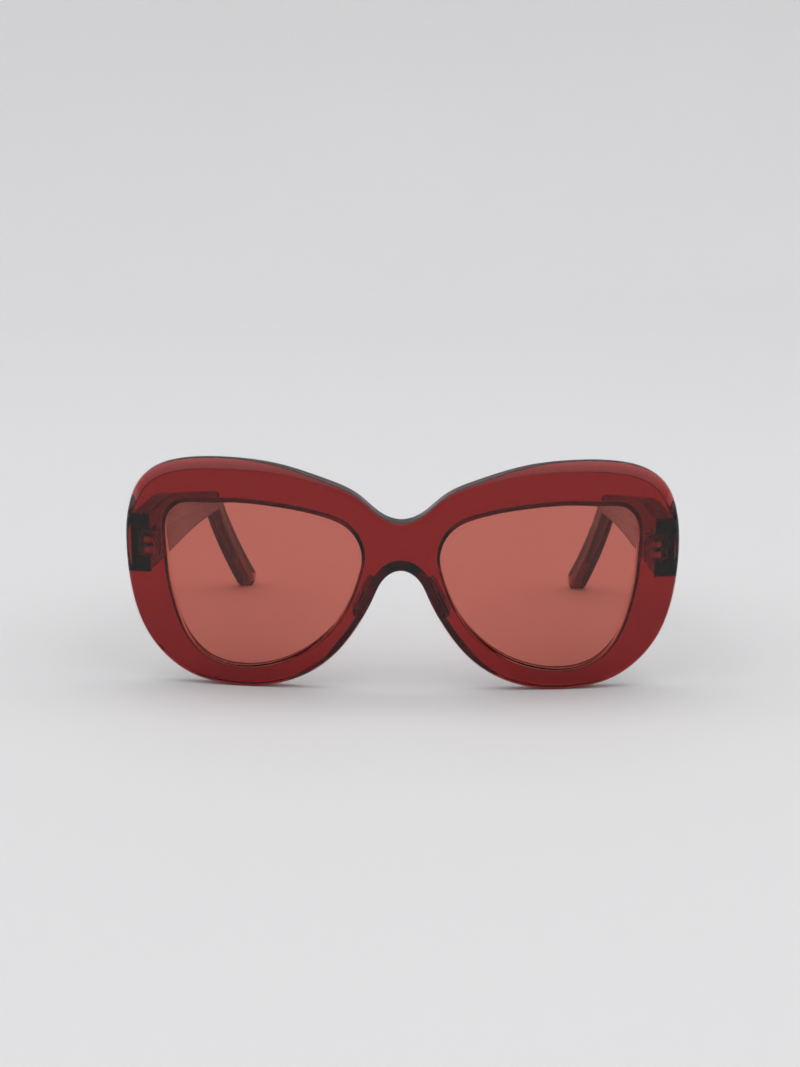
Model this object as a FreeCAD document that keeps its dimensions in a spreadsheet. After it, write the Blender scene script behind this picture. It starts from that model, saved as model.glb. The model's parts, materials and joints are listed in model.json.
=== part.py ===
import FreeCAD, Part
import math
import os
from FreeCAD import Placement, Rotation, Vector

# Cat eye sunglasses in thick translucent acetate, standing open on a table.
#
# Millimetres, +Z up. The front faces -Y, the temples reach back along +Y, and X runs across the face.
# The origin is on the table, under the middle of the whole object. Left and right are as seen by
# somebody who looks at the front, so "left" is the -X side.
#
# The front is a flat-milled plate wrapped on an upright cylinder (the base curve) and then tilted, top
# forward. It is drawn before the tilt, in a front frame: x across, y back, z up from the lowest rim.

SIZES = [
    # front
    ("front_width", 146.6),
    ("front_height", 62.65),
    ("front_thickness", 5.2),
    ("base_radius", 280.0),
    ("tilt_angle", 8.0),
    ("front_seat_y", -66.74),
    ("front_seat_z", -0.59),
    ("edge_round", 0.7),
    ("rim_round", 0.3),
    ("blank_front", 12.0),
    ("blank_back", 30.0),
    # lenses and their groove
    ("groove_depth", 0.7),
    ("lens_bite", 0.6),
    ("lens_setback", 1.5),
    ("lens_thickness", 2.0),
    ("groove_clearance", 0.05),
    # nose pads
    ("pad_sink", 2.0),
    ("pad_length", 12.8),
    ("pad_width", 2.6),
    ("pad_height", 4.2),
    ("pad_round", 0.8),
    # temples
    ("temple_underside", 30.2),
    ("temple_butt_height", 16.0),
    ("temple_crown", 16.5),
    ("temple_crown_y", 40.0),
    ("bend_y", 107.0),
    ("bend_height", 5.2),
    ("drop_angle", 45.0),
    ("drop_width", 5.4),
    ("tip_slant", 3.0),
    ("tip_radius", 2.4),
    ("butt_x", 69.8),
    ("plan_taper", 0.0584),
    ("sweep_y", 60.0),
    ("sweep_rate", 0.0009),
    ("curl_rate", 0.0024),
    ("butt_thickness", 5.2),
    ("tip_thickness", 4.4),
    ("butt_gap", 0.2),
    ("temple_round", 0.8),
    # core wires
    ("core_width", 2.0),
    ("core_thickness", 1.2),
    ("core_rise", 2.7),
    # hinges
    ("pin_x", 65.3),
    ("pin_y", 10.5),
    ("hinge_z", 38.2),
    ("barrel_radius", 1.6),
    ("arm_pitch", 2.75),
    ("arm_thickness", 1.0),
    ("knuckle_thickness", 1.65),
    ("screw_radius", 0.7),
    ("screw_clearance", 0.03),
    ("screw_head_radius", 1.25),
    ("screw_head_height", 0.5),
    ("screw_slot", 0.35),
    ("leaf_reach", 1.0),
    ("leaf_lip", 0.6),
    ("leaf_sink", 4.9),
    ("leaf_face", 1.8),
    ("prong_reach", 3.0),
    ("prong_sink", 5.6),
    ("prong_thickness", 1.5),
    ("notch_floor", 3.6),
    ("notch_end", 7.0),
    ("notch_clearance", 0.55),
    ("plate_thickness", 1.0),
    ("plate_start", -0.9),
    ("plate_end", 9.0),
]

doc = FreeCAD.newDocument("cat_eye_sunglasses")
sheet = doc.addObject("Spreadsheet::Sheet", "Sizes")
for row, (alias, value) in enumerate(SIZES, start=1):
    sheet.set(f"A{row}", str(value))
    sheet.setAlias(f"A{row}", alias)
doc.recompute()


def cell(alias):
    """The value of a driving dimension."""
    return float(sheet.get(alias))


# ---------------------------------------------------------------- outlines, in the front frame

# Right half of the front's outline, from the top of the bridge round to the bottom of the bridge,
# for a front of 73.3 by 62.65 millimetres (half width, height). It stretches with the sheet.
DRAWN_HALF_WIDTH = 73.3
DRAWN_HEIGHT = 62.65
FRONT_HALF = [
    (0.0, 47.1), (5.0, 48.7), (11.0, 53.7), (20.0, 57.9), (32.0, 61.4), (45.0, 62.6),
    (56.4, 61.8), (64.8, 59.0), (70.4, 53.5), (72.7, 46.5), (73.3, 37.0), (72.2, 24.9),
    (68.8, 14.2), (63.5, 7.1), (55.3, 1.9), (46.5, 0.2), (36.5, 0.5), (27.6, 3.1),
    (18.3, 9.4), (11.95, 17.5), (7.25, 26.3), (3.8, 32.3), (0.0, 34.0),
]
# Right lens opening, from the middle of its top edge towards the bridge and round.
LENS_OPENING = [
    (46.0, 51.4), (33.0, 50.9), (21.0, 48.8), (13.5, 45.2), (10.3, 38.6), (11.3, 31.6),
    (14.9, 22.6), (20.0, 15.4), (26.5, 10.0), (34.2, 6.5), (43.0, 5.2), (50.8, 7.1),
    (56.6, 12.9), (59.9, 21.2), (61.8, 30.9), (62.3, 39.5), (61.6, 46.9), (58.6, 50.1),
    (53.0, 50.9),
]


def stretched(points):
    across = cell("front_width") / 2 / DRAWN_HALF_WIDTH
    up = cell("front_height") / DRAWN_HEIGHT
    return [(x * across, z * up) for x, z in points]


def both_sides(half):
    """A closed outline from a half that starts and ends on the middle line."""
    return half + [(-x, z) for x, z in reversed(half[1:-1])]


def closed_spline(points):
    curve = Part.BSplineCurve()
    curve.interpolate(Points=[Vector(a, b, 0) for a, b in points], PeriodicFlag=True)
    return curve


def grown(points, distance, stations=40):
    """A closed spline that runs a distance outside the spline through the points."""
    curve = closed_spline(points)
    step = (curve.LastParameter - curve.FirstParameter) / stations
    moved = []
    for index in range(stations):
        parameter = curve.FirstParameter + step * index
        along = Vector(*curve.tangent(parameter)[0])
        place = curve.value(parameter) + Vector(along.y, -along.x, 0) * distance
        moved.append((place.x, place.y))
    return closed_spline(moved)


# ---------------------------------------------------------------- building blocks

FACE_PLANE = Placement(Vector(), Rotation(Vector(1, 0, 0), 90))  # sketch x, y -> x, z
SIDE_PLANE = Placement(Vector(), Rotation(Vector(1, 1, 1), 120))  # sketch x, y -> y, z
PLAN_PLANE = Placement()  # sketch x, y -> x, y
UP = Vector(0, 0, 1)
BACK = Vector(0, 1, 0)
RIGHT = Vector(1, 0, 0)


def add(kind, name, **properties):
    made = doc.addObject(kind, name)
    made.Label = name
    for key, value in properties.items():
        setattr(made, key, value)
    return made


def bind(made, **expressions):
    """Ties properties to cells of the sheet; Base_x stands for Placement.Base.x."""
    for key, expression in expressions.items():
        path = "Placement.Base." + key[-1] if key.startswith("Base_") else key
        made.setExpression(path, expression)
    return made


def sketch(name, plane, geometry):
    made = add("Sketcher::SketchObject", name, Placement=plane)
    made.addGeometry(geometry, False)
    return made


def extrusion(name, base, direction, forward, backward=None):
    made = add("Part::Extrusion", name, Base=base, DirMode="Custom", Dir=direction, Solid=True)
    bind(made, LengthFwd=forward)
    if backward:
        bind(made, LengthRev=backward)
    return made


def cut(name, base, tool):
    return add("Part::Cut", name, Base=base, Tool=tool)


def common(name, base, tool):
    return add("Part::Common", name, Base=base, Tool=tool)


def fuse(name, shapes):
    return add("Part::MultiFuse", name, Shapes=shapes)


def mirrored(name, source):
    return add("Part::Mirroring", name, Source=source, Normal=RIGHT, Base=Vector())


def box(name, x, y, z):
    """A block between pairs of expressions."""
    made = add("Part::Box", name)
    bind(made, Length=f"({x[1]}) - ({x[0]})", Width=f"({y[1]}) - ({y[0]})", Height=f"({z[1]}) - ({z[0]})")
    return bind(made, Base_x=x[0], Base_y=y[0], Base_z=z[0])


def upright_cylinder(name, radius, x, y, z):
    made = add("Part::Cylinder", name)
    bind(made, Radius=radius, Height=f"({z[1]}) - ({z[0]})")
    return bind(made, Base_x=x, Base_y=y, Base_z=z[0])


def curve_cylinder(name, depth):
    """The base-curve cylinder, a depth behind the front's own surface."""
    radius = f"Sizes.base_radius - ({depth})"
    return upright_cylinder(name, radius, "0", "Sizes.base_radius", ("-20", "Sizes.front_height + 20"))


def shell(name, depth, thickness):
    """The layer of that thickness, a depth behind the front's own surface."""
    outer = curve_cylinder(name + "_outer", depth)
    inner = curve_cylinder(name + "_inner", f"({depth}) + ({thickness})")
    return cut(name, outer, inner)


def edge_numbers(shape, wanted):
    return [number for number, edge in enumerate(shape.Edges, start=1) if wanted(edge)]


def rounded(name, base, radius, wanted):
    """Fillets of one radius on the edges that the test wanted picks out."""
    doc.recompute()
    made = add("Part::Fillet", name, Base=base)
    made.Edges = [(number, radius, radius) for number in edge_numbers(base.Shape, wanted)]
    return made


def seated(made):
    """Tilts a piece of the front frame and stands it on the table."""
    made.Placement = Placement(Vector(), Rotation(Vector(1, 0, 0), cell("tilt_angle")))
    return bind(made, Base_y="Sizes.front_seat_y", Base_z="Sizes.front_seat_z")


def cornered(corners):
    """Lines and arcs through corners (a, b, radius); a radius of 0 leaves the corner sharp."""
    points = [Vector(a, b, 0) for a, b, _ in corners]
    starts, ends, arcs = [], [], []
    for index, (_, _, radius) in enumerate(corners):
        here = points[index]
        before = (points[index - 1] - here).normalize()
        after = (points[(index + 1) % len(points)] - here).normalize()
        half_turn = before.getAngle(after) / 2
        reach = radius / math.tan(half_turn)
        ends.append(here + before * reach)
        starts.append(here + after * reach)
        if radius:
            middle = (before + after).normalize()
            centre = here + middle * (radius / math.sin(half_turn))
            arcs.append(Part.Arc(ends[-1], centre - middle * radius, starts[-1]))
    lines = [Part.LineSegment(starts[i - 1], ends[i]) for i in range(len(points))]
    return lines + arcs


# ---------------------------------------------------------------- front frame

front_outline = sketch("front_outline", FACE_PLANE, [closed_spline(both_sides(stretched(FRONT_HALF)))])
front_blank = extrusion("front_blank", front_outline, BACK, "Sizes.blank_back", "Sizes.blank_front")
front_slab = shell("front_slab", "0", "Sizes.front_thickness")
front_plate = common("front_plate", front_blank, front_slab)


def on_curved_face(edge):
    """True for the edges between the outline's wall and the front or rear surface."""
    return edge.BoundBox.ZLength > cell("front_height") / 2 and edge.BoundBox.XLength > 20.0


front_soft = rounded("front_soft", front_plate, cell("edge_round"), on_curved_face)

opening_outline = sketch("opening_outline", FACE_PLANE, [closed_spline(stretched(LENS_OPENING))])
opening_right = extrusion("opening_right", opening_outline, BACK, "Sizes.blank_back", "Sizes.blank_front")
front_open = front_soft
for tool in (opening_right, mirrored("opening_left", opening_right)):
    front_open = cut("front_" + tool.Label, front_open, tool)

groove_outline = sketch(
    "groove_outline", FACE_PLANE, [grown(stretched(LENS_OPENING), cell("groove_depth"))]
)
groove_prism = extrusion("groove_prism", groove_outline, BACK, "Sizes.blank_back", "Sizes.blank_front")
groove_layer = shell(
    "groove_layer",
    "Sizes.lens_setback - Sizes.groove_clearance",
    "Sizes.lens_thickness + 2 * Sizes.groove_clearance",
)
groove_right = common("groove_right", groove_prism, groove_layer)
front_grooved = front_open
for tool in (groove_right, mirrored("groove_left", groove_right)):
    front_grooved = cut("front_" + tool.Label, front_grooved, tool)


def round_an_opening(edge):
    """True for the four edges where a lens opening meets the front or rear surface."""
    bounds = edge.BoundBox
    if bounds.ZLength < 40.0 or bounds.XLength > cell("front_width") / 2:
        return False
    place = edge.valueAt(edge.FirstParameter)
    depth = math.hypot(place.x, place.y - cell("base_radius"))
    surfaces = (cell("base_radius"), cell("base_radius") - cell("front_thickness"))
    return any(abs(depth - surface) < 0.1 for surface in surfaces)


front_rims = seated(rounded("front_rims", front_grooved, cell("rim_round"), round_an_opening))

# ---------------------------------------------------------------- lenses

lens_outline = sketch("lens_outline", FACE_PLANE, [grown(stretched(LENS_OPENING), cell("lens_bite"))])
lens_prism = extrusion("lens_prism", lens_outline, BACK, "Sizes.blank_back", "Sizes.blank_front")
lens_layer = shell("lens_layer", "Sizes.lens_setback", "Sizes.lens_thickness")
lens_right = seated(common("lens_right", lens_prism, lens_layer))
lens_left = mirrored("lens_left", lens_right)

# ---------------------------------------------------------------- nose pads

PAD_CENTRE = (9.2, 25.8)
PAD_LEAN = 27.0  # degrees from upright, along the side of the nose arch
PAD_SPLAY = 0.9  # how far the pad's ridge stands outboard of its foot


def pad_section(name, depth, shift, length, width):
    """A leaning slot shape beside the nose arch, at a depth behind the front surface."""
    lean = math.radians(PAD_LEAN)
    corners = []
    for along, across in ((-0.5, -0.5), (-0.5, 0.5), (0.5, 0.5), (0.5, -0.5)):
        x = PAD_CENTRE[0] + shift + along * length * math.sin(lean) + across * width * math.cos(lean)
        z = PAD_CENTRE[1] - along * length * math.cos(lean) + across * width * math.sin(lean)
        corners.append((x, z, 0.45 * width))
    return sketch(name, Placement(Vector(0, depth, 0), FACE_PLANE.Rotation), cornered(corners))


pad_foot = cell("front_thickness") - cell("pad_sink")
pad_ridge = cell("front_thickness") + cell("pad_height")
pad_blank = add(
    "Part::Loft",
    "pad_blank",
    Sections=[
        pad_section("pad_foot", pad_foot, 0.0, cell("pad_length"), cell("pad_width")),
        pad_section("pad_ridge", pad_ridge, PAD_SPLAY, cell("pad_length") * 0.85, cell("pad_width") * 0.8),
    ],
    Solid=True,
)


def on_ridge(edge):
    """True for the edges round the pad's ridge."""
    return abs(edge.BoundBox.YMin - pad_ridge) < 0.1 and abs(edge.BoundBox.YMax - pad_ridge) < 0.1


pad_soft = rounded("pad_soft", pad_blank, cell("pad_round"), on_ridge)
rear_side = curve_cylinder("rear_side", "Sizes.front_thickness")
nose_pad_right = seated(common("nose_pad_right", pad_soft, rear_side))
nose_pad_left = mirrored("nose_pad_left", nose_pad_right)

# ---------------------------------------------------------------- temples
# Drawn upright, with y measured back from the front's seat, then set back by front_seat_y.

SINK = math.sin(math.radians(cell("drop_angle")))
RUN = math.cos(math.radians(cell("drop_angle")))


def down_the_drop(start, along, across):
    """The point that lies along the drop from start, and across it towards its upper side."""
    return start[0] + along * RUN + across * SINK, start[1] - along * SINK + across * RUN


def temple_side():
    """The temple seen from the side: straight underside, tapering top edge, drop and round tip."""
    floor = cell("temple_underside")
    tip_radius = cell("tip_radius")
    bend = (cell("bend_y"), floor)
    slant = math.atan2(cell("tip_slant"), cell("drop_width"))
    tip_reach = tip_radius / math.tan((math.pi / 2 - slant) / 2)
    # The drop is as long as brings the round lower corner of its tip down to the table.
    drop_length = (floor + tip_radius * (RUN - 1)) / SINK + tip_reach
    low_tip = down_the_drop(bend, drop_length, 0)
    high_tip = down_the_drop(bend, drop_length - cell("tip_slant"), cell("drop_width"))
    top_of_bend = down_the_drop(bend, -3.5, cell("bend_height"))
    return [
        (0.0, floor, 0),
        (*bend, 3.0),
        (*low_tip, tip_radius),
        (*high_tip, tip_radius),
        (*top_of_bend, 9.0),
        (cell("temple_crown_y"), floor + cell("temple_crown"), 90.0),
        (0.0, floor + cell("temple_butt_height"), 0),
    ]


def middle_x(y):
    """The temple's mid-plane in plan: straight at first, then curving in round the head."""
    swept = max(y - cell("sweep_y"), 0.0)
    curled = max(y - cell("bend_y"), 0.0)
    taper = cell("butt_x") - cell("plan_taper") * y
    return taper - cell("sweep_rate") * swept**2 - cell("curl_rate") * curled**2


def open_spline(points):
    curve = Part.BSplineCurve()
    curve.interpolate(Points=[Vector(a, b, 0) for a, b in points])
    return curve


def plan_band(thickness_front, thickness_back):
    """The layer either side of the mid-plane, in plan."""
    stations = [0.0, 30.0, 60.0, 80.0, 95.0, 108.0, 119.0, 130.0, 140.0, 150.0]
    sides = []
    for side in (-0.5, 0.5):
        rows = []
        for y in stations:
            share = y / stations[-1]
            thickness = thickness_front + (thickness_back - thickness_front) * share
            rows.append((middle_x(y) + side * thickness, y))
        sides.append(rows)
    inner, outer = sides
    ends = [
        Part.LineSegment(Vector(*inner[0], 0), Vector(*outer[0], 0)),
        Part.LineSegment(Vector(*inner[-1], 0), Vector(*outer[-1], 0)),
    ]
    return [open_spline(inner), open_spline(outer)] + ends


def plan_and_side(name, plan, side):
    """The solid that has one outline in plan and the other from the side, set back to the seat."""
    planned = sketch(name + "_plan", PLAN_PLANE, plan)
    sided = sketch(name + "_side", SIDE_PLANE, side)
    made = common(
        name,
        extrusion(name + "_plan_prism", planned, UP, "Sizes.front_height", "10"),
        extrusion(name + "_side_prism", sided, RIGHT, "Sizes.front_width"),
    )
    return bind(made, Base_y="Sizes.front_seat_y")


temple_blank = plan_and_side(
    "temple_blank",
    plan_band(cell("butt_thickness"), cell("tip_thickness")),
    cornered(temple_side()),
)
# The butt bears on the front's rear surface, so it is trimmed to the same curve, a gap behind it.
TRIM_DEPTH = 70.0  # how far the trimming cylinder reaches below the front's own lowest point
butt_trim = add("Part::Cylinder", "butt_trim")
tilted = Rotation(Vector(1, 0, 0), cell("tilt_angle"))
seat = Vector(0, cell("front_seat_y"), cell("front_seat_z"))
axis_foot = seat + tilted.multVec(Vector(0, cell("base_radius"), -TRIM_DEPTH))
butt_trim.Placement = Placement(axis_foot, tilted)
bind(
    butt_trim,
    Radius="Sizes.base_radius - Sizes.front_thickness - Sizes.butt_gap",
    Height=f"2 * {TRIM_DEPTH} + Sizes.front_height",
)
temple_trimmed = common("temple_trimmed", temple_blank, butt_trim)


def along_the_temple(edge):
    """True for the long edges, and not for those round the butt."""
    butt_end = cell("front_seat_y") + 12.0
    return edge.BoundBox.YMax > butt_end


temple_soft = rounded("temple_soft", temple_trimmed, cell("temple_round"), along_the_temple)

# ---------------------------------------------------------------- hinges
# The right hinge, about its pin. Leaves are sunk into the acetate; the front's has two knuckles and the
# temple's three, so the temple's arms lie above, between and below the front's. Two prongs reach outwards
# and deeper into the front, to hold the leaf.

PIN_X = "Sizes.pin_x"
PIN_Y = "Sizes.front_seat_y + Sizes.pin_y"
KNUCKLE_LEVEL = "Sizes.arm_pitch / 2"
HALF_STACK = "(Sizes.arm_pitch + Sizes.arm_thickness / 2)"


def about_pin(name, x, y, z):
    """A block between offsets from the pin; z is from the hinge's middle."""
    return box(
        name,
        [f"{PIN_X} + ({edge})" for edge in x],
        [f"{PIN_Y} + ({edge})" for edge in y],
        [f"Sizes.hinge_z + ({edge})" for edge in z],
    )


def on_pin(name, radius, z):
    """A cylinder round the pin."""
    return upright_cylinder(name, radius, PIN_X, PIN_Y, [f"Sizes.hinge_z + ({edge})" for edge in z])


def barrels(name, levels, thickness, x, y):
    """Knuckles at the given levels, each with an arm that reaches across x and y."""
    pieces = []
    for number, level in enumerate(levels, start=1):
        span = (f"{level} - {thickness} / 2", f"{level} + {thickness} / 2")
        pieces.append(on_pin(f"{name}_knuckle_{number}", "Sizes.barrel_radius", span))
        pieces.append(about_pin(f"{name}_arm_{number}", x, y, span))
    return pieces


stack = (f"-{HALF_STACK}", HALF_STACK)
pin_bore = on_pin("pin_bore", "Sizes.screw_radius + Sizes.screw_clearance", ("-9", "9"))

front_leaf_anchor = about_pin(
    "front_leaf_anchor",
    ("-Sizes.leaf_reach", "Sizes.leaf_lip"),
    ("-Sizes.leaf_sink", "-Sizes.leaf_face"),
    stack,
)
front_knuckles = barrels(
    "front_leaf",
    (f"-{KNUCKLE_LEVEL}", KNUCKLE_LEVEL),
    "Sizes.knuckle_thickness",
    ("-Sizes.barrel_radius", "Sizes.leaf_lip"),
    ("-Sizes.leaf_face - 0.2", "0"),
)
front_prongs = [
    about_pin(
        f"front_prong_{side}",
        ("0", "Sizes.prong_reach"),
        ("-Sizes.prong_sink", "-Sizes.leaf_face"),
        (f"{level} - Sizes.prong_thickness / 2", f"{level} + Sizes.prong_thickness / 2"),
    )
    for side, level in (("low", f"-{KNUCKLE_LEVEL}"), ("high", KNUCKLE_LEVEL))
]
front_leaf_solid = fuse("front_leaf_solid", [front_leaf_anchor] + front_prongs + front_knuckles)
hinge_front_leaf_right = cut("hinge_front_leaf_right", front_leaf_solid, pin_bore)

temple_leaf_anchor = about_pin(
    "temple_leaf_anchor",
    ("Sizes.notch_floor", "Sizes.notch_floor + Sizes.plate_thickness"),
    ("Sizes.plate_start", "Sizes.plate_end"),
    stack,
)
temple_knuckles = barrels(
    "temple_leaf",
    ("-Sizes.arm_pitch", "0", "Sizes.arm_pitch"),
    "Sizes.arm_thickness",
    ("0", "Sizes.notch_floor + 0.2"),
    ("Sizes.plate_start", "Sizes.barrel_radius"),
)
temple_leaf_solid = fuse("temple_leaf_solid", [temple_leaf_anchor] + temple_knuckles)
hinge_temple_leaf_right = cut("hinge_temple_leaf_right", temple_leaf_solid, pin_bore)

# The screw is turned: a slotted cheese head on a plain shank, which is its hinge's pin.
screw_shank = on_pin("screw_shank", "Sizes.screw_radius", (f"-{HALF_STACK} - 0.2", HALF_STACK))
screw_head = on_pin(
    "screw_head", "Sizes.screw_head_radius", (HALF_STACK, f"{HALF_STACK} + Sizes.screw_head_height")
)
screw_slot = about_pin(
    "screw_slot",
    ("-2", "2"),
    ("-Sizes.screw_slot / 2", "Sizes.screw_slot / 2"),
    (f"{HALF_STACK} + Sizes.screw_head_height / 2", f"{HALF_STACK} + 2"),
)
hinge_screw_right = cut("hinge_screw_right", fuse("screw_solid", [screw_shank, screw_head]), screw_slot)

# ---------------------------------------------------------------- temple core wires

CORE_START = (22.0, 38.3)
CORE_STOP = 30.0  # how far the wire runs down the drop
CORE_LEAD = 1.1  # how far behind the temple's bend the wire turns


def core_side():
    """A flat wire along the middle of the temple, bent with the drop."""
    half = cell("core_width") / 2
    rise = cell("core_rise")
    bend = (cell("bend_y") + CORE_LEAD, cell("temple_underside") + rise)
    outer = (bend[0] + half * (1 - RUN) / SINK, bend[1] + half)
    inner = (bend[0] - half * (1 - RUN) / SINK, bend[1] - half)
    return [
        (CORE_START[0], CORE_START[1] - half, 0.4),
        (*inner, 12.0),
        (*down_the_drop(bend, CORE_STOP, -half), 0.4),
        (*down_the_drop(bend, CORE_STOP, half), 0.4),
        (*outer, 12.0 + 2 * half),
        (CORE_START[0], CORE_START[1] + half, 0.4),
    ]


temple_core_right = plan_and_side(
    "temple_core_right",
    plan_band(cell("core_thickness"), cell("core_thickness")),
    cornered(core_side()),
)

# ---------------------------------------------------------------- seats for the metal

leaf_notch = about_pin(
    "leaf_notch",
    ("-2", "Sizes.notch_floor"),
    ("-6", "Sizes.notch_end"),
    (f"-{HALF_STACK} - Sizes.notch_clearance", f"{HALF_STACK} + Sizes.notch_clearance"),
)
temple_notched = cut("temple_notched", temple_soft, leaf_notch)
temple_seated = cut("temple_seated", temple_notched, hinge_temple_leaf_right)
temple_right = cut("temple_right", temple_seated, temple_core_right)

hinge_front_leaf_left = mirrored("hinge_front_leaf_left", hinge_front_leaf_right)
front_seated = cut("front_seated", front_rims, hinge_front_leaf_right)
front_frame = cut("front_frame", front_seated, hinge_front_leaf_left)

# ---------------------------------------------------------------- the finished pieces

NODES = [
    front_frame,
    lens_right,
    lens_left,
    nose_pad_right,
    nose_pad_left,
    hinge_front_leaf_right,
    hinge_front_leaf_left,
    hinge_temple_leaf_right,
    mirrored("hinge_temple_leaf_left", hinge_temple_leaf_right),
    hinge_screw_right,
    mirrored("hinge_screw_left", hinge_screw_right),
    temple_right,
    mirrored("temple_left", temple_right),
    temple_core_right,
    mirrored("temple_core_left", temple_core_right),
]
doc.recompute()

failed = [made.Label for made in doc.Objects if {"Invalid", "Error"} & set(made.State)]
if failed:
    raise RuntimeError(f"these objects did not build: {failed}")
for node in NODES:
    if node.Shape.isNull() or not node.Shape.isValid() or len(node.Shape.Solids) != 1:
        raise RuntimeError(f"{node.Label} is not one valid solid")

os.makedirs("parts", exist_ok=True)
for node in NODES:
    node.Shape.exportStep(os.path.join("parts", node.Label + ".step"))
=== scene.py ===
import json
import math

import bmesh
import bpy
import numpy as np
from mathutils import Euler, Matrix, Vector
from mathutils.geometry import delaunay_2d_cdt


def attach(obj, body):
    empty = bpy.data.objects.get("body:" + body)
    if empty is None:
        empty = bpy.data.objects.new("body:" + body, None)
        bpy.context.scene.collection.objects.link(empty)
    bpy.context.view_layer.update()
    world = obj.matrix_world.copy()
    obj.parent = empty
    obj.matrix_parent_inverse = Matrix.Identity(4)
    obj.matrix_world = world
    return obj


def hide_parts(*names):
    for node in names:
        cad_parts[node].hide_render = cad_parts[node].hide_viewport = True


# Cat eye sunglasses in polished translucent acetate, standing open on a pale table.
# Shapes are worked out in millimetres and stored in metres. The front faces -Y, and "right" is +X.
# A plate (front, lens, temple) is drawn flat as (a, b, depth) and then placed in space: a runs along it,
# b up it, and depth through it, from its outer face inwards.

MM = 0.001

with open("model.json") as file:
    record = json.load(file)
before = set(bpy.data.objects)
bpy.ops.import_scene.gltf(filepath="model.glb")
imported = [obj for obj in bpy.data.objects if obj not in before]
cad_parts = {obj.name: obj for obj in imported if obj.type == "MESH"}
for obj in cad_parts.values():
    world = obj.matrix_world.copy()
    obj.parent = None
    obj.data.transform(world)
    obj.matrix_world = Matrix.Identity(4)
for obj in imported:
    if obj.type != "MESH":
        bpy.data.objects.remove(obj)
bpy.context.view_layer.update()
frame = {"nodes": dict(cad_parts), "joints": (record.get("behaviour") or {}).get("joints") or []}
PIN = {j["name"]: Vector(j["pos_m"]) / MM for j in frame["joints"]}["fold_right"]

# ---------------------------------------------------------------- dimensions

BASE_RADIUS = 280.0  # of the upright cylinder that the front is wrapped on
TILT = math.radians(8.0)  # top of the front forward
SEAT_Y = PIN.y - 10.5  # where the front's own drawing starts, ahead of the hinge pin
SEAT_Z = -0.59  # its height, with which the lower rims stand on the table
FRONT_THICKNESS = 5.2
EDGE_ROUND = 1.2
REAR_ROUND = 0.7
RIM_ROUND = 0.3
FACET_BY_WIDTH = (16.0, 48.0)  # across the front, the facet grows from nothing to full between these
FACET_BY_HEIGHT = (43.5, 52.0)  # and up the front, between these
RELIEF_REACH = (25.0, 36.0)  # the nose arch's relief lies within this far across and up
RELIEF_LOW = (3.0, 13.0)  # half of the relief grows in here, going up
RELIEF_HIGH = (19.5, 21.5)  # and the other half here
GROOVE_MOUTH = (0.9, 4.1)  # depths between which the lens groove opens
GROOVE_DEPTH = 0.85
LENS_FACES = (1.5, 3.5)  # depths of the lens's two surfaces
LENS_EDGE = 0.7  # how far the lens's bevelled edge reaches into the groove

# Right half of the front's outline, from the top of the bridge round to the bottom of the bridge.
FRONT_HALF = [
    (0.0, 47.1), (5.0, 48.7), (11.0, 53.7), (20.0, 57.9), (32.0, 61.4), (45.0, 62.6),
    (56.4, 61.8), (64.8, 59.0), (70.4, 53.5), (72.7, 46.5), (73.3, 37.0), (72.2, 24.9),
    (68.8, 14.2), (63.5, 7.1), (55.3, 1.9), (46.5, 0.2), (36.5, 0.5), (27.6, 3.1),
    (18.3, 9.4), (11.95, 17.5), (7.25, 26.3), (3.8, 32.3), (0.0, 34.0),
]
# Right lens opening.
LENS_OPENING = [
    (46.0, 51.4), (33.0, 50.9), (21.0, 48.8), (13.5, 45.2), (10.3, 38.6), (11.3, 31.6),
    (14.9, 22.6), (20.0, 15.4), (26.5, 10.0), (34.2, 6.5), (43.0, 5.2), (50.8, 7.1),
    (56.6, 12.9), (59.9, 21.2), (61.8, 30.9), (62.3, 39.5), (61.6, 46.9), (58.6, 50.1),
    (53.0, 50.9),
]

TEMPLE_FLOOR = 30.2
BUTT_TOP = 46.2
BUTT_DRAWN = 9.0  # where the temple's front end is drawn, before it is shaped to the front
BUTT_BLEND = 22.0  # behind this the temple is as drawn
BUTT_RISE = 0.15  # the butt's upper corner is drawn this far above BUTT_TOP
BUTT_GAP = 0.2
BUTT_CORNER = 0.65
BUTT_ROUND = 0.22
BUTT_THICKNESS = 5.2
TIP_THICKNESS = 4.4
TEMPLE_SPAN = 150.0  # the length over which the thickness falls
TEMPLE_ROUND = 0.8
CROWN = (40.0, 46.7)  # where the top edge starts to fall: back from the seat, and up
CROWN_RADIUS = 90.0
BEND = (107.0, TEMPLE_FLOOR)  # where the underside turns down
BEND_RADIUS = 3.0
BEND_HEIGHT = 5.2
BEND_LEAD = 3.5  # how far up the drop's line the top of the bend lies
BEND_TOP_RADIUS = 9.0
DROP_ANGLE = math.radians(45.0)
DROP_WIDTH = 5.4
TIP_SLANT = 3.0
TIP_RADIUS = 2.4
# The temple's mid-plane in plan: where it starts, how it closes in, and how it curls along the drop.
BUTT_X = 69.8
PLAN_TAPER = 0.0584
SWEEP_START = 60.0
SWEEP_RATE = 0.0009
CURL_RATE = 0.0024
# The hinge's notch in the temple, from the pin: inwards and outwards, forwards and back, up and down.
NOTCH_X = (-2.0, 3.6)
NOTCH_Y = (-6.0, 7.0)
NOTCH_Z = (-3.8, 3.8)

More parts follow.
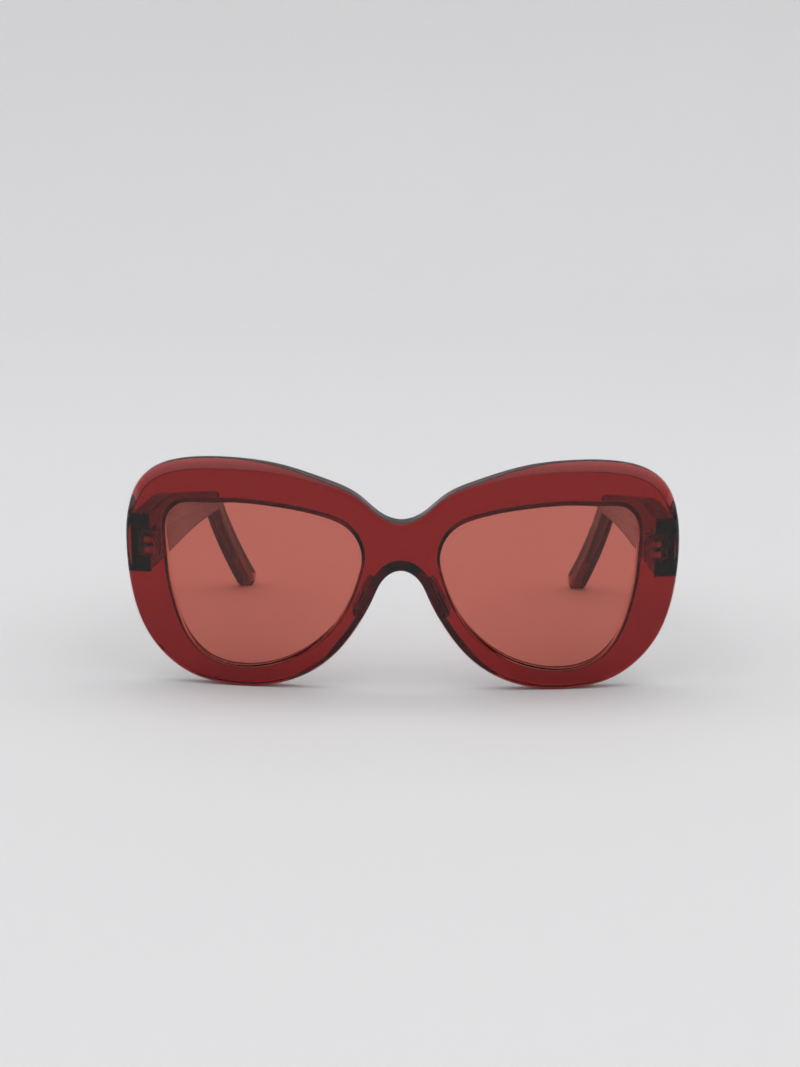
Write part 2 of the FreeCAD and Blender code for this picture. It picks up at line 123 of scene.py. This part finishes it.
PAD_CENTRE = (9.2, 25.8)
PAD_LEAN = math.radians(27.0)
PAD_LENGTH = 12.6
PAD_WIDTH = 2.5
PAD_WALL = 3.1  # height of the pad's wall, below its rounded crown
PAD_CROWN = 1.05
PAD_CROWN_SIZE = (10.96, 2.1)  # length and width where the crown starts
PAD_CROWN_ROUND = 1.5
PAD_LENGTH_TAPER = 0.13
PAD_WIDTH_TAPER = 0.16
PAD_SPLAY = 0.9
PAD_GAP = 0.04  # between the pad's foot and the front
PAD_LEAST_WIDTH = 0.6
PAD_CORNER = 0.49  # corner radius as a share of the width
PAD_POINTS = 90  # points round a pad

OUTLINE_STEP = 0.7  # spacing of the points round the front and the lenses
TEMPLE_STEP = 0.8
LENS_GRID = 3.0  # spacing of the points on a lens's faces
PAD_GRID = 0.8


def smoothstep(low, high, value):
    t = min(1.0, max(0.0, (value - low) / (high - low)))
    return t * t * (3 - 2 * t)


# ---------------------------------------------------------------- closed outlines


def through(points, spacing):
    """Evenly spaced points along the smooth closed curve through the given ones."""
    p = np.array(points, float)
    count = len(p)
    ahead = np.roll(p, -1, 0)
    chord = np.linalg.norm(ahead - p, axis=1)
    system, right = np.zeros((count, count)), np.zeros((count, 2))
    for i in range(count):
        before, after = chord[i - 1], chord[i]
        system[i, i - 1] += before
        system[i, i] += 2 * (before + after)
        system[i, (i + 1) % count] += after
        right[i] = 6 * ((ahead[i] - p[i]) / after - (p[i] - p[i - 1]) / before)
    bend = np.linalg.solve(system, right)
    dense = []
    for i in range(count):
        h, j = chord[i], (i + 1) % count
        for t in np.linspace(0, h, 60, endpoint=False):
            cubic = (bend[i] * (h - t) ** 3 + bend[j] * t**3) / (6 * h)
            dense.append(cubic + (p[i] / h - bend[i] * h / 6) * (h - t) + (p[j] / h - bend[j] * h / 6) * t)
    return evenly(np.array(dense), spacing)


def evenly(dense, spacing):
    """A closed polyline with about that spacing, at equal steps along a denser one."""
    steps = np.linalg.norm(np.roll(dense, -1, 0) - dense, axis=1)
    along = np.concatenate([[0], np.cumsum(steps)])
    wanted = np.linspace(0, along[-1], int(round(along[-1] / spacing)), endpoint=False)
    looped = np.vstack([dense, dense[:1]])
    return np.stack([np.interp(wanted, along, looped[:, k]) for k in (0, 1)], axis=1)


def cornered(corners, step):
    """Closed polyline with straight runs and arcs, from corners (a, b, radius)."""
    points = [np.array(c[:2], float) for c in corners]
    made = []
    for i, (_, _, radius) in enumerate(corners):
        here = points[i]
        before = points[i - 1] - here
        after = points[(i + 1) % len(points)] - here
        before, after = before / np.linalg.norm(before), after / np.linalg.norm(after)
        half = math.acos(np.clip(before @ after, -1, 1)) / 2
        reach = radius / math.tan(half)
        start, stop = here + before * reach, here + after * reach
        middle = (before + after) / np.linalg.norm(before + after)
        centre = here + middle * (radius / math.sin(half))
        sweep = math.pi - 2 * half
        pieces = max(5, int(radius * sweep / step))
        first, last = start - centre, stop - centre
        for k in range(pieces + 1):
            share = k / pieces
            turned = math.sin((1 - share) * sweep) * first + math.sin(share * sweep) * last
            made.append(centre + turned / math.sin(sweep))
    dense = []
    for p, q in zip(made, made[1:] + made[:1]):
        if np.linalg.norm(q - p) < 1e-6:
            continue
        pieces = max(1, int(np.linalg.norm(q - p) / step))
        dense.extend(p + (q - p) * k / pieces for k in range(pieces))
    return np.array(dense)


def outward(outline):
    """Unit normals of a closed polyline, away from its inside."""
    edge = np.roll(outline, -1, 0) - outline
    edge = edge / np.linalg.norm(edge, axis=1)[:, None]
    both = edge + np.roll(edge, 1, 0)
    normal = np.stack([both[:, 1], -both[:, 0]], axis=1)
    x, y = outline[:, 0], outline[:, 1]
    area = np.sum(x * np.roll(y, -1) - np.roll(x, -1) * y)
    return math.copysign(1, area) * normal / np.linalg.norm(normal, axis=1)[:, None]


def edge_rings(outline, profiles):
    """Rings (a, b, depth) round an outline; profiles holds, for each point, the same number of
    (inset, depth) pairs. A positive inset moves towards the inside of the outline."""
    normal = outward(outline)
    profiles = np.array(profiles, float)
    rings = []
    for k in range(profiles.shape[1]):
        inset, depth = profiles[:, k, 0], profiles[:, k, 1]
        rings.append(np.column_stack([outline - normal * inset[:, None], depth]))
    return rings


def quarter(radius, steps=5):
    """(inset, depth) pairs of a rounded edge, from the face to the wall."""
    turns = [math.pi / 2 * k / steps for k in range(steps + 1)]
    return [(radius * (1 - math.sin(t)), radius * (1 - math.cos(t))) for t in turns]


def from_rear(pairs, thickness):
    """The same edge on the rear face, from the wall to the face."""
    return [(inset, thickness - depth) for inset, depth in reversed(pairs)]


# ---------------------------------------------------------------- plates

WITHIN_OUTLINE = 1  # the triangulation's output type: only triangles inside the outermost loop


def inside(points, loop):
    """Which points lie inside a closed polyline."""
    x, y = points[:, 0][:, None], points[:, 1][:, None]
    ax, ay = loop[:, 0], loop[:, 1]
    bx, by = np.roll(ax, -1), np.roll(ay, -1)
    straddles = (ay > y) != (by > y)
    rise = np.where(by == ay, 1e-12, by - ay)
    return np.sum(straddles & (x < (bx - ax) * (y - ay) / rise + ax), axis=1) % 2 == 1


def cover(loops, spacing):
    """Triangles over the region inside the first loop and outside the others: extra points and faces.
    Faces count the loops' own points first, in order, and then the extra ones."""
    low, high = loops[0].min(0), loops[0].max(0)
    columns = np.arange(low[0], high[0], spacing)
    rows = np.arange(low[1], high[1], spacing * 0.866)
    grid = np.array([(x + spacing / 2 * (i % 2), y) for i, y in enumerate(rows) for x in columns])
    rim = np.vstack(loops)
    keep = inside(grid, loops[0])
    for hole in loops[1:]:
        keep &= ~inside(grid, hole)
    grid = grid[keep]
    gap = np.min(np.linalg.norm(grid[:, None] - rim[None], axis=2), axis=1)
    grid = grid[gap > spacing * 0.45]
    points = np.vstack([rim, grid])
    edges, start = [], 0
    for loop in loops:
        edges += [(start + i, start + (i + 1) % len(loop)) for i in range(len(loop))]
        start += len(loop)
    found = delaunay_2d_cdt([Vector(p) for p in points], edges, [], WITHIN_OUTLINE, 1e-7)
    original = [min(ids) if ids else -1 for ids in found[3]]
    faces = np.array([[original[v] for v in face] for face in found[2]])
    middle = points[faces].mean(axis=1)
    keep = np.ones(len(faces), bool)
    for hole in loops[1:]:
        keep &= ~inside(middle, hole)
    return grid, faces[keep]


def plate(name, edges, place, spacing=2.0):
    """A closed plate from its edges, each a list of rings from the outer face to the inner one: first
    the outline, then any openings. place turns (a, b, depth) rows into millimetres in space."""
    rows, faces, starts = [], [], []
    total = 0
    for rings in edges:
        starts.append(total)
        n = len(rings[0])
        for k in range(len(rings) - 1):
            for i in range(n):
                j = (i + 1) % n
                here, there = total + k * n, total + (k + 1) * n
                faces.append((here + i, here + j, there + j, there + i))
        rows.extend(rings)
        total += n * len(rings)
    for side in (0, -1):
        loops = [rings[side][:, :2] for rings in edges]
        extra, triangles = cover(loops, spacing)
        lookup = []
        for rings, start in zip(edges, starts):
            n = len(rings[0])
            first = start + (0 if side == 0 else (len(rings) - 1) * n)
            lookup += range(first, first + n)
        lookup += range(total, total + len(extra))
        depth = edges[0][side][:, 2].mean()
        rows.append(np.column_stack([extra, np.full(len(extra), depth)]))
        total += len(extra)
        faces += [tuple(lookup[v] for v in face) for face in triangles]
    return piece(name, place(np.vstack(rows)), faces)


def piece(name, points, faces):
    """A mesh object from millimetre points, with its normals outwards and smooth shading."""
    mesh = bpy.data.meshes.new(name)
    mesh.from_pydata([Vector(p) * MM for p in points], [], faces)
    tidy_normals(mesh)
    made = bpy.data.objects.new(name, mesh)
    bpy.context.scene.collection.objects.link(made)
    return made


def tidy_normals(mesh):
    """Turns all faces outwards and shades them smooth."""
    work = bmesh.new()
    work.from_mesh(mesh)
    bmesh.ops.recalc_face_normals(work, faces=work.faces)
    for face in work.faces:
        face.smooth = True
    work.to_mesh(mesh)
    work.free()
    mesh.validate()


def mirrored(made, name):
    """A copy on the other side of the middle."""
    mesh = made.data.copy()
    mesh.name = name
    mesh.transform(Matrix.Scale(-1, 4, (1, 0, 0)))
    mesh.flip_normals()
    other = bpy.data.objects.new(name, mesh)
    bpy.context.scene.collection.objects.link(other)
    return other


def on_front(rows):
    """Wraps rows (across, up, depth) on the base curve, tilts them and stands them on the table."""
    u, v, d = rows[:, 0], rows[:, 1], rows[:, 2]
    back = BASE_RADIUS - np.sqrt((BASE_RADIUS - d) ** 2 - u**2)
    y = back * math.cos(TILT) - v * math.sin(TILT) + SEAT_Y
    z = back * math.sin(TILT) + v * math.cos(TILT) + SEAT_Z
    return np.column_stack([u, y, z])


# ---------------------------------------------------------------- front

# Edges as (inset, depth) pairs: the outer ones from face to wall, the rear ones from wall to face.
PLAIN_EDGE = [(1.7, 0.0)] + quarter(EDGE_ROUND, 6) + [(0.0, 1.6)]
FACET_EDGE = [
    (2.35, 0.0), (2.15, 0.01), (2.02, 0.06), (1.88, 0.2), (0.42, 2.38), (0.25, 2.66),
    (0.11, 2.95), (0.03, 3.2), (0.0, 3.5),
]
REAR_EDGE = from_rear([(1.0, 0.0)] + quarter(REAR_ROUND, 5), FRONT_THICKNESS)
RELIEF_EDGE = from_rear(
    [(2.35, 0.0), (2.2, 0.01), (2.07, 0.1), (1.5, 1.1), (0.75, 2.4), (0.12, 3.5), (0.0, 3.8)],
    FRONT_THICKNESS,
)


def between(first, second, share):
    """An edge profile part of the way from the first one to the second."""
    mixed = np.array(first) * (1 - share) + np.array(second) * share
    return [tuple(pair) for pair in mixed]


def facet_share(u, v):
    """The bevelled facet runs over the top and the upper outer corners, and ends above the hinges."""
    return smoothstep(*FACET_BY_WIDTH, abs(u)) * smoothstep(*FACET_BY_HEIGHT, v)


def relief_share(u, v):
    """The rear edge of the nose arch is filed back steeply, and less below the pads."""
    if abs(u) > RELIEF_REACH[0] or v > RELIEF_REACH[1]:
        return 0.0
    return 0.5 * smoothstep(*RELIEF_LOW, v) + 0.5 * smoothstep(*RELIEF_HIGH, v)


def front_edge(u, v):
    """The outline's edge at one place, outer part first."""
    facet, relief = facet_share(u, v), relief_share(u, v)
    return between(PLAIN_EDGE, FACET_EDGE, facet) + between(REAR_EDGE, RELIEF_EDGE, relief)


def opening_edge():
    """Round the opening: rounded rim, wall, V groove, wall, rounded rim. Insets are negative here,
    because the material lies outside the opening."""
    low, high = GROOVE_MOUTH
    middle = (low + high) / 2
    rim = [(1.0, 0.0)] + quarter(RIM_ROUND, 4)
    near_side = [(0.0, low), (0.02, low + 0.03), (GROOVE_DEPTH - 0.03, middle - 0.06)]
    groove = near_side + [(GROOVE_DEPTH, middle)] + from_rear(near_side, low + high)
    pairs = rim + groove + from_rear(rim, FRONT_THICKNESS)
    return [(-inset, depth) for inset, depth in pairs]


def make_front():
    """The front, with its outline and two lens openings."""
    half = FRONT_HALF + [(-x, z) for x, z in reversed(FRONT_HALF[1:-1])]
    outline = through(half, OUTLINE_STEP)
    opening = through(LENS_OPENING, OUTLINE_STEP)
    edges = [edge_rings(outline, [front_edge(u, v) for u, v in outline])]
    for side in (1, -1):
        rim = opening * (side, 1)
        edges.append(edge_rings(rim, [opening_edge()] * len(rim)))
    return plate("acetate_front", edges, on_front)


# ---------------------------------------------------------------- lenses


def make_lens():
    """The right lens, with a V edge that lies in the front's groove."""
    outline = through(LENS_OPENING, OUTLINE_STEP)
    near, far = LENS_FACES
    middle = (near + far) / 2
    near_side = [
        (0.6, near), (0.08, near), (0.0, near + 0.02), (-0.06, near + 0.06),
        (-LENS_EDGE + 0.05, middle - 0.1),
    ]
    profile = near_side + [(-LENS_EDGE, middle)] + from_rear(near_side, near + far)
    rings = edge_rings(outline, [profile] * len(outline))
    return plate("tinted_lens_right", [rings], on_front, LENS_GRID)


# ---------------------------------------------------------------- nose pads


def pad_section(length, width, shift):
    """A leaning slot shape beside the nose arch."""
    corner = PAD_CORNER * width
    half_l, half_w = length / 2, width / 2
    ends = ((half_w, -half_l), (half_w, half_l), (-half_w, half_l), (-half_w, -half_l))
    box = [(*end, corner) for end in ends]
    flat = evenly(cornered(box, 0.1), (2 * length + 2 * width) / PAD_POINTS)
    lean = np.array([[math.cos(PAD_LEAN), math.sin(PAD_LEAN)], [-math.sin(PAD_LEAN), math.cos(PAD_LEAN)]])
    return flat @ lean + np.array([PAD_CENTRE[0] + shift, PAD_CENTRE[1]])


def pad_stages():
    """The pad's sections from its foot to its crown: depth, length, width and shift outboard."""
    stages = []
    for t in np.linspace(0, 1, 9):
        length, width = PAD_LENGTH * (1 - PAD_LENGTH_TAPER * t), PAD_WIDTH * (1 - PAD_WIDTH_TAPER * t)
        stages.append((t * PAD_WALL, length, width, PAD_SPLAY * t))
    length, width = PAD_CROWN_SIZE
    for k in range(1, 7):
        turn = math.pi / 2 * k / 6
        shrink = PAD_CROWN_ROUND * (1 - math.cos(turn))
        stages.append((PAD_WALL + PAD_CROWN * math.sin(turn), length - shrink, width - shrink, PAD_SPLAY))
    return stages


def make_pad():
    """The right pad, standing on the front's rear surface."""
    rings, counts = [], None
    for depth, length, width, shift in pad_stages():
        section = pad_section(length, max(width, PAD_LEAST_WIDTH), shift)
        counts = counts or len(section)
        if len(section) != counts:
            length_round = np.linalg.norm(np.roll(section, -1, 0) - section, axis=1).sum()
            section = evenly(section, length_round / counts)
        level = np.full(counts, FRONT_THICKNESS + PAD_GAP + depth)
        rings.append(np.column_stack([section[:counts], level]))
    return plate("acetate_nose_pad_right", [rings], on_front, PAD_GRID)


# ---------------------------------------------------------------- temples

SHARP_ANGLE = math.radians(40)  # edges steeper than this stay crisp


def middle_x(y):
    """Where the temple's mid-plane lies across, that far behind the front's seat."""
    swept = np.maximum(y - SWEEP_START, 0)
    curled = np.maximum(y - BEND[0], 0)
    return BUTT_X - PLAN_TAPER * y - SWEEP_RATE * swept**2 - CURL_RATE * curled**2


def front_rear_y(x, z):
    """How far back the front's rear surface lies from the seat, with the butt's gap."""
    back = BASE_RADIUS - np.sqrt((BASE_RADIUS - FRONT_THICKNESS - BUTT_GAP) ** 2 - x**2)
    up = (z - SEAT_Z - back * math.sin(TILT)) / math.cos(TILT)
    return back * math.cos(TILT) - up * math.sin(TILT)


def on_temple(rows):
    """Bends rows (back, up, depth from the mid-plane) to the temple's plan, its butt to the front."""
    y, z, depth = rows[:, 0], rows[:, 1], rows[:, 2]
    thickness = BUTT_THICKNESS + (TIP_THICKNESS - BUTT_THICKNESS) * y / TEMPLE_SPAN
    x = middle_x(y) + (depth / BUTT_THICKNESS) * thickness
    near_butt = np.clip((BUTT_BLEND - y) / (BUTT_BLEND - BUTT_DRAWN), 0, 1)
    y = y + (front_rear_y(x, z) - BUTT_DRAWN) * near_butt
    return np.column_stack([x, y + SEAT_Y, z])


def temple_outline():
    """The temple from the side: back from the seat, and up."""
    sink, run = math.sin(DROP_ANGLE), math.cos(DROP_ANGLE)

    def down(along, across):
        return BEND[0] + along * run + across * sink, BEND[1] - along * sink + across * run

    tip_reach = TIP_RADIUS / math.tan((math.pi / 2 - math.atan2(TIP_SLANT, DROP_WIDTH)) / 2)
    length = (TEMPLE_FLOOR + TIP_RADIUS * (run - 1)) / sink + tip_reach
    corners = [
        (BUTT_DRAWN, TEMPLE_FLOOR, BUTT_CORNER),
        (*BEND, BEND_RADIUS),
        (*down(length, 0), TIP_RADIUS),
        (*down(length - TIP_SLANT, DROP_WIDTH), TIP_RADIUS),
        (*down(-BEND_LEAD, BEND_HEIGHT), BEND_TOP_RADIUS),
        (*CROWN, CROWN_RADIUS),
        (BUTT_DRAWN, BUTT_TOP + BUTT_RISE, BUTT_CORNER),
    ]
    return cornered(corners, TEMPLE_STEP)


def temple_edge(y):
    """Well rounded along the temple, and crisp round its butt."""
    softened = smoothstep(BUTT_DRAWN + 0.3, BUTT_DRAWN + 2.2, y)
    radius = BUTT_ROUND + (TEMPLE_ROUND - BUTT_ROUND) * softened
    side = [(radius + 0.25, 0.0)] + quarter(radius, 6)
    pairs = side + from_rear(side, BUTT_THICKNESS)
    return [(inset, depth - BUTT_THICKNESS / 2) for inset, depth in pairs]


def cut_block(made, across, along, up):
    """Takes a block out of a piece, between two places in x, in y and in z."""
    corners = [Vector((x, y, z)) for x in across for y in along for z in up]
    faces = [(0, 1, 3, 2), (4, 6, 7, 5), (0, 4, 5, 1), (2, 3, 7, 6), (0, 2, 6, 4), (1, 5, 7, 3)]
    block = piece("block", corners, faces)
    cutter = made.modifiers.new("notch", "BOOLEAN")
    cutter.object, cutter.operation, cutter.solver = block, "DIFFERENCE", "EXACT"
    bpy.context.view_layer.update()
    mesh = bpy.data.meshes.new_from_object(made.evaluated_get(bpy.context.evaluated_depsgraph_get()))
    made.modifiers.clear()
    made.data = mesh
    bpy.data.objects.remove(block)


def make_temple():
    """The right temple, with its hinge's notch."""
    outline = temple_outline()
    rings = edge_rings(outline, [temple_edge(y) for y, _ in outline])
    made = plate("acetate_temple_right", [rings], on_temple)
    notch = [[at + edge for edge in span] for at, span in zip(PIN, (NOTCH_X, NOTCH_Y, NOTCH_Z))]
    cut_block(made, *notch)
    made.data.set_sharp_from_angle(angle=SHARP_ANGLE)
    return made


# ---------------------------------------------------------------- materials


class Nodes:
    """A material's nodes: makes them, sets their sockets and links them."""

    def __init__(self, name):
        self.material = bpy.data.materials.new(name)
        self.material.use_nodes = True
        self.tree = self.material.node_tree
        self.tree.nodes.clear()

    def add(self, kind, settings=None, **sockets):
        node = self.tree.nodes.new("ShaderNode" + kind)
        for key, value in (settings or {}).items():
            setattr(node, key, value)
        for key, value in sockets.items():
            self.set(node, key.replace("_", " "), value)
        return node

    def set(self, node, socket, value):
        if isinstance(value, bpy.types.NodeSocket):
            self.tree.links.new(value, node.inputs[socket])
        else:
            node.inputs[socket].default_value = value

    def noise(self, scale, detail=3.0, roughness=0.5, stretch=None):
        where = self.add("TexCoord").outputs["Object"]
        if stretch:
            where = self.add("Mapping", Vector=where, Scale=stretch).outputs["Vector"]
        made = self.add("TexNoise", Vector=where, Scale=scale, Detail=detail, Roughness=roughness)
        return made.outputs["Fac"]

    def ramp(self, value, stops):
        node = self.add("ValToRGB", Fac=value)
        while len(node.color_ramp.elements) < len(stops):
            node.color_ramp.elements.new(0.5)
        for element, (position, colour) in zip(node.color_ramp.elements, stops):
            element.position = position
            element.color = (*colour, 1) if isinstance(colour, tuple) else (colour, colour, colour, 1)
        return node.outputs["Color"]

    def span(self, value, low, high):
        node = self.add("MapRange", Value=value, To_Min=low, To_Max=high)
        return node.outputs["Result"]

    def bump(self, height, strength, distance, over=None):
        node = self.add("Bump", Height=height, Strength=strength, Distance=distance)
        if over:
            self.set(node, "Normal", over)
        return node.outputs["Normal"]


def absorbing(name, absorption, ior, rough, tint, wave):
    """Clear plastic that absorbs light along its path: per metre, red, green and blue."""
    n = Nodes(name)
    polish = n.noise(160, 4)
    scuffs = n.noise(900, 2, 0.6, (1.0, 1.0, 0.15))
    colour = n.ramp(n.noise(45, 3), [(0.3, tint), (0.7, (1.0, 1.0, 1.0))])
    normal = n.bump(n.noise(55, 1), wave, 0.0004)
    normal = n.bump(scuffs, 0.02, 0.00005, normal)
    shader = n.add(
        "BsdfPrincipled",
        Base_Color=colour,
        Roughness=n.span(polish, *rough),
        IOR=ior,
        Transmission_Weight=1.0,
        Normal=normal,
    )
    density = 1.25 * max(absorption)
    volume = n.add(
        "VolumeAbsorption", Color=(*[1 - a / density for a in absorption], 1.0), Density=density
    )
    out = n.add("OutputMaterial")
    n.tree.links.new(shader.outputs["BSDF"], out.inputs["Surface"])
    n.tree.links.new(volume.outputs["Volume"], out.inputs["Volume"])
    return n.material


def metal(name, colour, rough, grain):
    """Worked metal with fine grain, tumbling marks and uneven polish."""
    n = Nodes(name)
    lines = n.noise(2600, 3, 0.6, grain)
    stain = n.noise(500, 4)
    shade = n.ramp(stain, [(0.25, tuple(0.78 * c for c in colour)), (0.75, colour)])
    normal = n.bump(lines, 0.25, 0.00002)
    normal = n.bump(n.noise(900, 2), 0.15, 0.00004, normal)
    shader = n.add(
        "BsdfPrincipled",
        Base_Color=shade,
        Metallic=1.0,
        Roughness=n.span(lines, *rough),
        Normal=normal,
    )
    out = n.add("OutputMaterial")
    n.tree.links.new(shader.outputs["BSDF"], out.inputs["Surface"])
    return n.material


def studio_surface(name, colour):
    """Matt paper, very slightly uneven in colour."""
    n = Nodes(name)
    shade = n.ramp(n.noise(3, 2), [(0.3, tuple(0.99 * c for c in colour)), (0.7, colour)])
    shader = n.add("BsdfPrincipled", Base_Color=shade, Roughness=0.75)
    shader.inputs["Specular IOR Level"].default_value = 0.2
    out = n.add("OutputMaterial")
    n.tree.links.new(shader.outputs["BSDF"], out.inputs["Surface"])
    return n.material


# ---------------------------------------------------------------- putting the pieces on


def wear(made, material, body, node):
    """Gives a mesh its material, and puts it in place of a CAD piece."""
    made.data.materials.clear()
    made.data.materials.append(material)
    even = made.modifiers.new("even_normals", "WEIGHTED_NORMAL")
    even.keep_sharp = True
    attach(made, body)
    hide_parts(node)


def dress_metal(node, material, bevel):
    """The CAD piece itself, with its edges broken by a bevel in millimetres."""
    made = frame["nodes"][node]
    made.data.materials.clear()
    made.data.materials.append(material)
    weld = made.modifiers.new("weld", "WELD")
    weld.merge_threshold = 0.002 * MM
    soft = made.modifiers.new("broken_edges", "BEVEL")
    soft.width, soft.segments, soft.limit_method = bevel * MM, 2, "ANGLE"
    soft.angle_limit = math.radians(30)
    soft.harden_normals = True


acetate = absorbing("red_acetate", (222, 900, 900), 1.49, (0.012, 0.035), (0.97, 0.93, 0.93), 0.05)
arm_acetate = absorbing("red_arm_acetate", (330, 950, 950), 1.49, (0.012, 0.035), (0.97, 0.93, 0.93), 0.05)
tint = absorbing("rose_lens", (212, 800, 930), 1.5, (0.0, 0.015), (0.985, 0.97, 0.97), 0.02)
hinge = metal("nickel_silver", (0.8, 0.77, 0.71), (0.2, 0.36), (1.0, 1.0, 0.2))
steel = metal("screw_steel", (0.6, 0.6, 0.61), (0.18, 0.34), (1.0, 1.0, 6.0))
wire = metal("rolled_wire", (0.52, 0.5, 0.46), (0.28, 0.45), (1.0, 0.08, 1.0))

wear(make_front(), acetate, "front", "front_frame")
lens, pad, temple = make_lens(), make_pad(), make_temple()
for right, material, body, node, slot in (
    (lens, tint, "front", "lens", "lens_tint"),
    (pad, acetate, "front", "nose_pad", "acetate"),
    (temple, arm_acetate, "temple_arm", "temple", "acetate"),
):
    left = mirrored(right, right.name.replace("right", "left"))
    for made, side in ((right, "right"), (left, "left")):
        wear(made, material, body if body == "front" else f"{body}_{side}", f"{node}_{side}")

for side in ("left", "right"):
    dress_metal(f"hinge_front_leaf_{side}", hinge, 0.12)
    dress_metal(f"hinge_temple_leaf_{side}", hinge, 0.12)
    dress_metal(f"hinge_screw_{side}", steel, 0.06)
    dress_metal(f"temple_core_{side}", wire, 0.15)

# ---------------------------------------------------------------- studio

# In metres.
FLOOR_FRONT = -3.0
FLOOR_BACK = 1.2  # where the floor starts to curve up
WALL_CURVE = 0.8
WALL_TOP = 4.0
BACKDROP_ACROSS = (-4.0, -1.5, 1.5, 4.0)

SKY_AT_HORIZON = 0.2
SKY_OVERHEAD = 1.5

CAMERA_AT = (0.014, -0.64735, 0.1482)
CAMERA_TILT = math.radians(79.685)
CAMERA_TURN = math.radians(1.418)
CAMERA_ROLL = math.radians(0.3)
FOCAL_LENGTH = 75.88  # millimetres, on a sensor of the next width
SENSOR_WIDTH = 36.0


def sweep_backdrop():
    """A pale floor that curves up into a wall far behind."""
    profile = [(FLOOR_FRONT, 0.0), (-FLOOR_BACK, 0.0), (0.0, 0.0), (FLOOR_BACK, 0.0)]
    for k in range(1, 25):
        turn = math.pi / 2 * k / 24
        profile.append((FLOOR_BACK + WALL_CURVE * math.sin(turn), WALL_CURVE * (1 - math.cos(turn))))
    profile += [(FLOOR_BACK + WALL_CURVE, WALL_TOP / 2), (FLOOR_BACK + WALL_CURVE, WALL_TOP)]
    rows = [(x, y, z) for y, z in profile for x in BACKDROP_ACROSS]
    faces = [
        (4 * j + i, 4 * j + i + 1, 4 * j + i + 5, 4 * j + i + 4)
        for j in range(len(profile) - 1)
        for i in range(3)
    ]
    made = piece("backdrop", [Vector(r) / MM for r in rows], faces)
    made.data.materials.append(studio_surface("pale_paper", (0.8, 0.8, 0.81)))


def sky():
    """Soft light from above, brightest overhead and dim from the horizon down."""
    world = bpy.data.worlds.new("studio")
    bpy.context.scene.world = world
    world.use_nodes = True
    tree = world.node_tree
    tree.nodes.clear()
    where = tree.nodes.new("ShaderNodeTexCoord")
    split = tree.nodes.new("ShaderNodeSeparateXYZ")
    tree.links.new(where.outputs["Generated"], split.inputs["Vector"])
    lift = tree.nodes.new("ShaderNodeMapRange")
    lift.inputs["From Min"].default_value = 0.0
    lift.inputs["From Max"].default_value = 1.0
    lift.inputs["To Min"].default_value = SKY_AT_HORIZON
    lift.inputs["To Max"].default_value = SKY_OVERHEAD
    tree.links.new(split.outputs["Z"], lift.inputs["Value"])
    shade = tree.nodes.new("ShaderNodeBackground")
    shade.inputs["Color"].default_value = (1.0, 1.0, 1.0, 1.0)
    tree.links.new(lift.outputs["Result"], shade.inputs["Strength"])
    out = tree.nodes.new("ShaderNodeOutputWorld")
    tree.links.new(shade.outputs["Background"], out.inputs["Surface"])


def camera():
    """In front of the glasses and above them, looking slightly down."""
    data = bpy.data.cameras.new("camera")
    data.lens, data.sensor_width = FOCAL_LENGTH, SENSOR_WIDTH
    made = bpy.data.objects.new("camera", data)
    bpy.context.scene.collection.objects.link(made)
    aim = Euler((CAMERA_TILT, 0, CAMERA_TURN), "XYZ").to_matrix()
    roll = Matrix.Rotation(CAMERA_ROLL, 3, "Z")
    made.matrix_world = Matrix.Translation(CAMERA_AT) @ (aim @ roll).to_4x4()
    data.clip_start, data.clip_end = 0.01, 20
    bpy.context.scene.camera = made


sweep_backdrop()
sky()
camera()
bpy.context.scene.view_settings.view_transform = "Standard"
bpy.context.scene.view_settings.gamma = 0.9
bpy.context.scene.view_settings.exposure = 0.01
